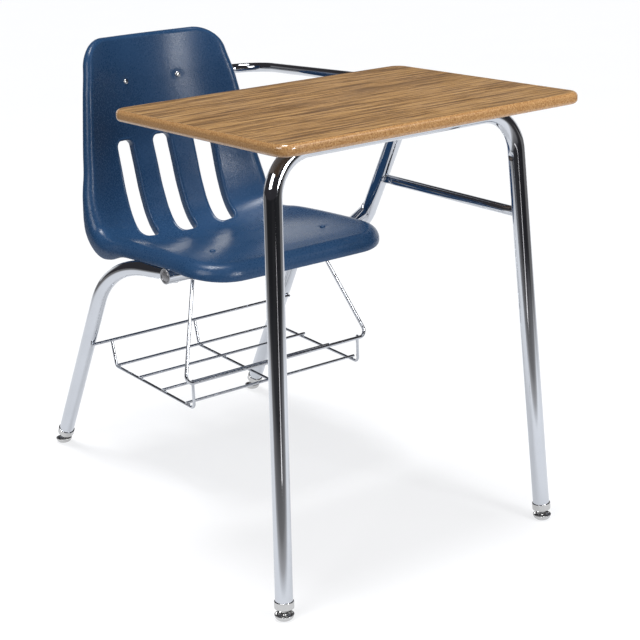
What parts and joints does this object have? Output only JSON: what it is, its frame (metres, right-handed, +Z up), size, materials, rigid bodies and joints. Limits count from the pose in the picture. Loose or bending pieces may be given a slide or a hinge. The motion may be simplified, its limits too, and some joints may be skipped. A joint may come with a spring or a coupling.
{
  "type": "student desk chair",
  "caption": "One-arm student desk joined to a slotted plastic shell seat, on a bent chromed tube frame with swivel glides and a wire book basket.",
  "frame": {"origin": "on the floor, under the centre of the object's bounding box", "axes": "+Z up, the user sits facing -Y, the support arm is on the +X side, the user's left"},
  "size_m": [0.656, 1.0032, 0.8028],
  "materials": {
    "laminate_top": "satin",
    "shell_plastic": "pebbled satin",
    "tube_chrome": "polished",
    "wire_chrome": "polished",
    "nickel": "satin",
    "end_cap": "satin"
  },
  "bodies": {
    "frame": {"back_brace": "tube_chrome", "back_brace_cap_front": "end_cap", "back_brace_cap_rear": "end_cap", "back_rivet_left": "nickel", "back_rivet_right": "nickel", "basket_hanger": "wire_chrome", "basket_wire_cross_left": "wire_chrome", "basket_wire_cross_middle": "wire_chrome", "basket_wire_cross_right": "wire_chrome", "basket_wire_floor_1": "wire_chrome", "basket_wire_floor_2": "wire_chrome", "basket_wire_floor_3": "wire_chrome", "basket_wire_floor_4": "wire_chrome", "basket_wire_rear": "wire_chrome", "front_leg_frame": "tube_chrome", "glide_cup_front_left": "nickel", "glide_cup_front_right": "nickel", "glide_cup_rear_left": "nickel", "glide_cup_rear_right": "nickel", "glide_stud_front_left": "nickel", "glide_stud_front_right": "nickel", "glide_stud_rear_left": "nickel", "glide_stud_rear_right": "nickel", "rear_leg_left": "tube_chrome", "rear_leg_right": "tube_chrome", "seat_rivet_left": "shell_plastic", "seat_rivet_right": "shell_plastic", "seat_saddle_left": "tube_chrome", "seat_saddle_right": "tube_chrome", "seat_shell": "shell_plastic", "side_rail": "tube_chrome", "support_tube": "tube_chrome", "support_tube_cap": "end_cap", "work_surface": "laminate_top"},
    "glide_front_right": {"glide_base_front_right": "nickel"},
    "glide_front_left": {"glide_base_front_left": "nickel"},
    "glide_rear_right": {"glide_base_rear_right": "nickel"},
    "glide_rear_left": {"glide_base_rear_left": "nickel"}
  },
  "joints": [
    {"name": "tilt_front_right", "type": "hinge", "parent": "frame", "child": "glide_front_right", "pos_m": [-0.30785, -0.43273, 0.0065], "axis": [1, 0, 0], "range_deg": [-8, 8]},
    {"name": "tilt_front_left", "type": "hinge", "parent": "frame", "child": "glide_front_left", "pos_m": [0.26155, -0.43273, 0.0065], "axis": [1, 0, 0], "range_deg": [-8, 8]},
    {"name": "tilt_rear_right", "type": "hinge", "parent": "frame", "child": "glide_rear_right", "pos_m": [-0.17415, 0.48588, 0.0065], "axis": [1, 0, 0], "range_deg": [-8, 8]},
    {"name": "tilt_rear_left", "type": "hinge", "parent": "frame", "child": "glide_rear_left", "pos_m": [0.29785, 0.48588, 0.0065], "axis": [1, 0, 0], "range_deg": [-8, 8]}
  ]
}
